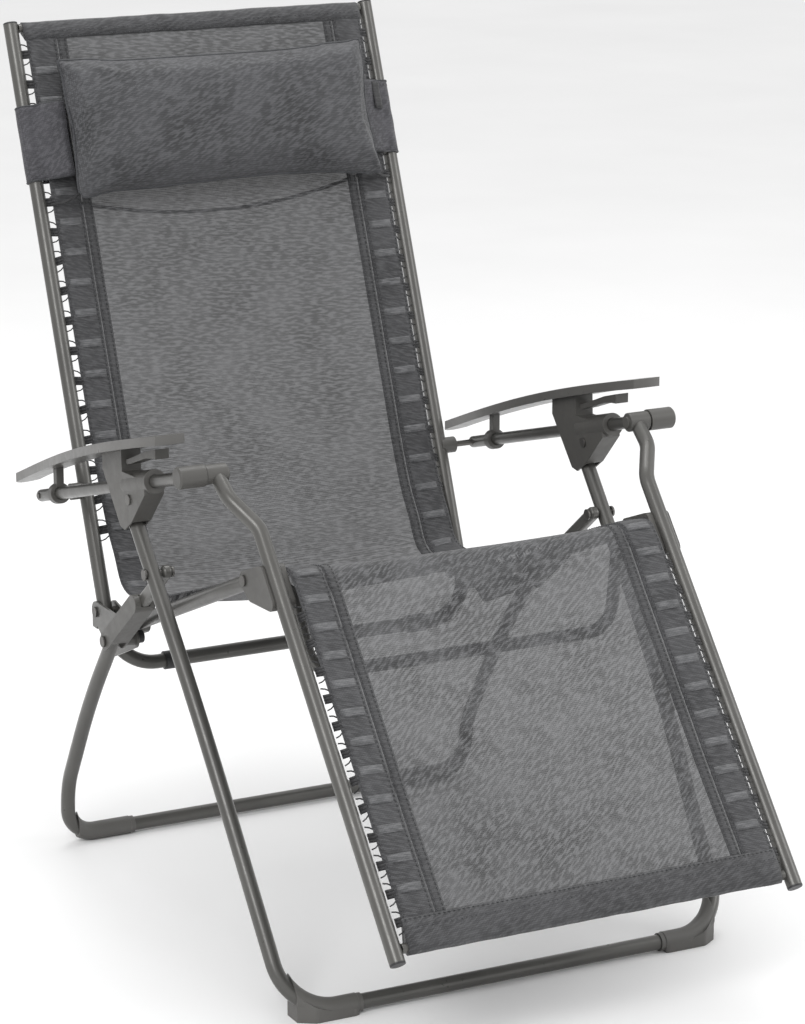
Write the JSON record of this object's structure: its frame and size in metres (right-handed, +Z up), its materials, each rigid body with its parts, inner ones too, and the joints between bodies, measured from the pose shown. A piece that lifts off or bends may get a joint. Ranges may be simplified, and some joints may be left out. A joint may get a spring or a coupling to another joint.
{
  "type": "zero gravity recliner",
  "caption": "Folding tube-frame recliner with a laced mesh sling, sliding headrest pillow, tilting leg rest and armrests with lock levers.",
  "frame": {"origin": "on the floor below the middle of the recliner's bounding box, on the plane of symmetry", "axes": "+Z up, the sitter faces -Y, +X towards the right armrest as seen from the front"},
  "size_m": [0.7194, 1.1497, 1.0743],
  "materials": {
    "frame_paint": "satin",
    "pin_steel": "satin",
    "joint_plastic": "satin",
    "foot_plastic": "satin",
    "pad_plastic": "satin",
    "black_plastic": "matte",
    "sling_mesh": "woven mesh",
    "pillow_mesh": "woven mesh",
    "flap_fabric": "woven",
    "tag_fabric": "woven",
    "elastic": "braided"
  },
  "bodies": {
    "front_legs": {"front_floor_bar": "frame_paint", "front_foot_cap_left": "foot_plastic", "front_foot_cap_right": "foot_plastic", "front_leg_left": "frame_paint", "front_leg_plugs": "black_plastic", "front_leg_right": "frame_paint", "link_pivot_pins": "pin_steel"},
    "links": {"link_left": "frame_paint", "link_right": "frame_paint", "link_covers": "joint_plastic"},
    "rear_legs": {"rear_floor_bar": "frame_paint", "rear_foot_cap_left": "foot_plastic", "rear_foot_cap_right": "foot_plastic", "rear_leg_left": "frame_paint", "rear_leg_right": "frame_paint", "hinge_pins": "pin_steel"},
    "seat": {"rear_hinge_bracket_left": "frame_paint", "rear_hinge_bracket_right": "frame_paint", "seat_lacing": "elastic", "seat_sling": "sling_mesh", "seat_tube_left": "frame_paint", "seat_tube_right": "frame_paint", "back_pivot_pins": "pin_steel", "hinge_knobs": "black_plastic"},
    "back": {"back_tube_left": "frame_paint", "back_tube_right": "frame_paint", "back_lower_bar": "frame_paint", "crossbar_collars": "black_plastic", "back_end_plugs": "black_plastic", "top_spreader_bar": "frame_paint", "back_sling": "sling_mesh", "back_lacing": "elastic", "arm_rod_clips": "joint_plastic"},
    "headrest": {"headrest_flap_left": "flap_fabric", "headrest_flap_right": "flap_fabric", "headrest_pillow": "pillow_mesh", "headrest_tag": "tag_fabric"},
    "leg_rest": {"foot_spreader_bar": "frame_paint", "knee_brackets": "joint_plastic", "knee_pivot_pins": "pin_steel", "leg_end_plugs": "black_plastic", "leg_lacing": "elastic", "leg_rest_crossbar": "frame_paint", "leg_rest_tube_left": "frame_paint", "leg_rest_tube_right": "frame_paint", "leg_sling": "sling_mesh", "pivot_cap_left": "joint_plastic", "pivot_cap_right": "joint_plastic"},
    "arm_tubes": {"arm_tube_left": "frame_paint", "arm_tube_right": "frame_paint", "arm_sleeves": "joint_plastic", "arm_rear_rods": "pin_steel"},
    "armrests": {"arm_bracket_left": "joint_plastic", "arm_bracket_right": "joint_plastic", "arm_pad_left": "pad_plastic", "arm_pad_right": "pad_plastic", "arm_guide_rings": "joint_plastic", "bracket_rivets": "pin_steel"},
    "lock_lever_left": {"lock_lever_left": "joint_plastic"},
    "lock_lever_right": {"lock_lever_right": "joint_plastic"}
  },
  "joints": [
    {"name": "recline", "type": "hinge", "parent": "front_legs", "child": "seat", "pos_m": [0, 0.154, 0.335], "axis": [-1, 0, 0], "range_deg": [-0.8, 6.6]},
    {"name": "back_recline", "type": "hinge", "parent": "seat", "child": "back", "pos_m": [0, 0.279, 0.3355], "axis": [-1, 0, 0], "range_deg": [-3.07, 24.93]},
    {"name": "headrest_slide", "type": "slide", "parent": "back", "child": "headrest", "axis": [0, 0.3644, 0.9313], "range_m": [-0.25, 0.02]},
    {"name": "leg_rest_lift", "type": "hinge", "parent": "seat", "child": "leg_rest", "pos_m": [0, -0.192, 0.4997], "axis": [-1, 0, 0], "range_deg": [-3.84, 31.33]},
    {"name": "arm_tube_swing", "type": "hinge", "parent": "leg_rest", "child": "arm_tubes", "pos_m": [0, -0.142, 0.62], "axis": [-1, 0, 0], "range_deg": [-31.83, 3.9]},
    {"name": "armrest_slide", "type": "slide", "parent": "arm_tubes", "child": "armrests", "axis": [0, -0.9626, 0.271], "range_m": [-0.01045, 0.08478]},
    {"name": "lock_lever_left_tilt", "type": "hinge", "parent": "armrests", "child": "lock_lever_left", "pos_m": [-0.32, 0.034, 0.5995], "axis": [1, 0, 0], "range_deg": [0, 4]},
    {"name": "lock_lever_right_tilt", "type": "hinge", "parent": "armrests", "child": "lock_lever_right", "pos_m": [0.32, 0.034, 0.5995], "axis": [1, 0, 0], "range_deg": [0, 4]},
    {"name": "base_fold", "type": "hinge", "parent": "front_legs", "child": "links", "pos_m": [0, -0.015, 0.468], "axis": [-1, 0, 0], "range_deg": [0, 72]},
    {"name": "rear_leg_fold", "type": "hinge", "parent": "links", "child": "rear_legs", "pos_m": [0, 0.154, 0.335], "axis": [-1, 0, 0], "range_deg": [-18.8, 0.05]}
  ],
  "couplings": [
    {"joint": "back_recline", "follows": "recline", "ratio": 3.7693},
    {"joint": "leg_rest_lift", "follows": "recline", "ratio": 4.7392},
    {"joint": "arm_tube_swing", "follows": "recline", "ratio": -4.8153},
    {"joint": "armrest_slide", "follows": "recline", "m_per_rad": 0.73428},
    {"joint": "rear_leg_fold", "follows": "base_fold", "ratio": -0.26}
  ]
}
